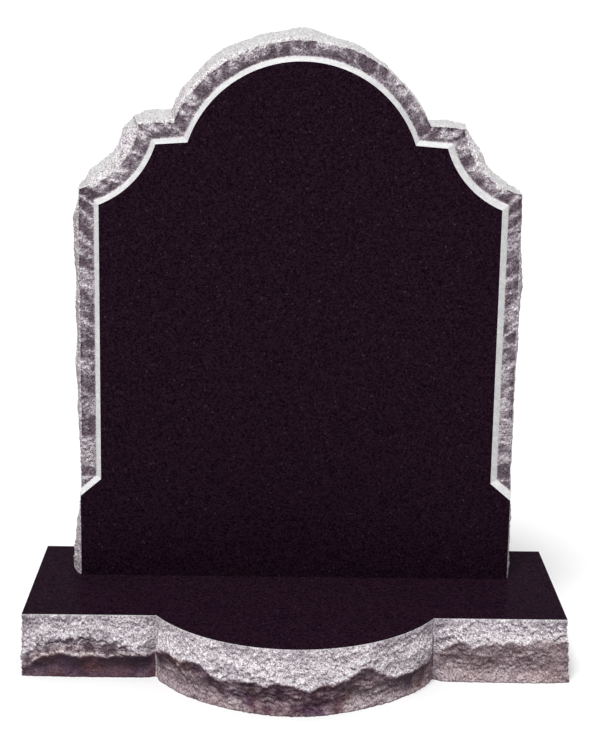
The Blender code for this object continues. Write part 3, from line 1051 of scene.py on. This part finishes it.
def polished_material():
    """Dark granite with a purple cast, in which the crystals just show."""
    material = simple_material(
        "polished granite", (0.012, 0.005, 0.010), roughness=0.22, specular=0.006)
    tree = material.node_tree
    place = add_node(tree, "ShaderNodeTexCoord").outputs["Object"]
    cells = granite_cells(tree, place, scale=430.0)
    stone = mix_colours(tree, cells.outputs["Red"], POLISHED_DARK, POLISHED_LIGHT)
    flecks = spread(tree, cells.outputs["Green"], low=0.99, high=1.0)
    flecked = mix_colours(tree, flecks, stone, POLISHED_FLECK)
    link(tree, flecked, tree.nodes["Principled BSDF"].inputs["Base Color"])
    return material


def sawn_material(name, dark, light, marks_across):
    """Sawn granite: fine crystals and faint marks of the saw along X."""
    material = simple_material(name, light, roughness=0.7, specular=0.3)
    tree = material.node_tree
    place = add_node(tree, "ShaderNodeTexCoord").outputs["Object"]
    squeeze = add_node(tree, "ShaderNodeMapping")
    squeeze.inputs["Scale"].default_value = (MARKS_ALONG, marks_across, marks_across)
    link(tree, place, squeeze.inputs["Vector"])
    marks = fine_noise(tree, squeeze.outputs["Vector"], scale=1.0, roughness=0.5)
    cells = granite_cells(tree, place, scale=450.0)
    grey = weighted_sum(tree, ((marks, 1.0), (cells.outputs["Red"], SAWN_CELL_WEIGHT)))
    colour = mix_colours(tree, spread(tree, grey, low=0.4, high=1.0), dark, light)
    link(tree, colour, tree.nodes["Principled BSDF"].inputs["Base Color"])
    add_bump(tree, marks, strength=0.3, distance=0.0004)
    return material


def add_floor():
    bm = bmesh.new()
    bmesh.ops.create_grid(bm, x_segments=1, y_segments=1, size=FLOOR_HALF)
    mesh = bpy.data.meshes.new("floor")
    bm.to_mesh(mesh)
    bm.free()
    mesh.materials.append(simple_material("floor", (0.8, 0.8, 0.8), roughness=0.9, specular=0.1))
    floor = bpy.data.objects.new("floor", mesh)
    bpy.context.scene.collection.objects.link(floor)


def add_camera():
    yaw, pitch, roll = CAMERA_YAW, CAMERA_PITCH, CAMERA_ROLL
    forward = Vector((
        -math.sin(yaw) * math.cos(pitch),
        math.cos(yaw) * math.cos(pitch),
        -math.sin(pitch),
    ))
    right = Vector((math.cos(yaw), math.sin(yaw), 0.0))
    up = right.cross(forward)
    right, up = (
        math.cos(roll) * right + math.sin(roll) * up,
        -math.sin(roll) * right + math.cos(roll) * up,
    )
    data = bpy.data.cameras.new("camera")
    data.sensor_width = SENSOR_MM
    data.lens = CAMERA_FOCAL_PX / FRAME_LONG_SIDE_PX * SENSOR_MM
    data.shift_y = CAMERA_SHIFT_PX / FRAME_LONG_SIDE_PX
    camera = bpy.data.objects.new("camera", data)
    turn = Matrix((right, up, -forward)).transposed()
    camera.matrix_world = Matrix.Translation(CAMERA_PLACE) @ turn.to_4x4()
    bpy.context.scene.collection.objects.link(camera)
    bpy.context.scene.camera = camera


def add_lights():
    world = bpy.data.worlds.new("studio")
    world.use_nodes = True
    tree = world.node_tree
    background = tree.nodes["Background"]
    place = tree.nodes.new("ShaderNodeTexCoord")
    split = tree.nodes.new("ShaderNodeSeparateXYZ")
    rise = tree.nodes.new("ShaderNodeMapRange")
    rise.inputs["To Min"].default_value = SKY_LOW
    rise.inputs["To Max"].default_value = SKY_HIGH
    link(tree, place.outputs["Generated"], split.inputs["Vector"])
    link(tree, split.outputs["Z"], rise.inputs["Value"])
    link(tree, rise.outputs["Result"], background.inputs["Strength"])
    background.inputs["Color"].default_value = (1.0, 1.0, 1.0, 1.0)
    bpy.context.scene.world = world
    sun = bpy.data.lights.new("key", "SUN")
    sun.energy = SUN_ENERGY
    sun.angle = SUN_SIZE
    lamp = bpy.data.objects.new("key", sun)
    lamp.rotation_euler = SUN_DIRECTION.to_track_quat("-Z", "Y").to_euler()
    bpy.context.scene.collection.objects.link(lamp)
    bpy.context.scene.view_settings.view_transform = "Standard"


granites = [
    polished_material(),
    sawn_material("sawn granite", (0.52, 0.51, 0.53), (0.70, 0.70, 0.69), 120.0),
    pitched_material(),
    sawn_material("plain granite", (0.22, 0.21, 0.22), (0.36, 0.35, 0.36), 90.0),
]
build_base(granites)
build_headstone(granites)
add_floor()
add_camera()
add_lights()
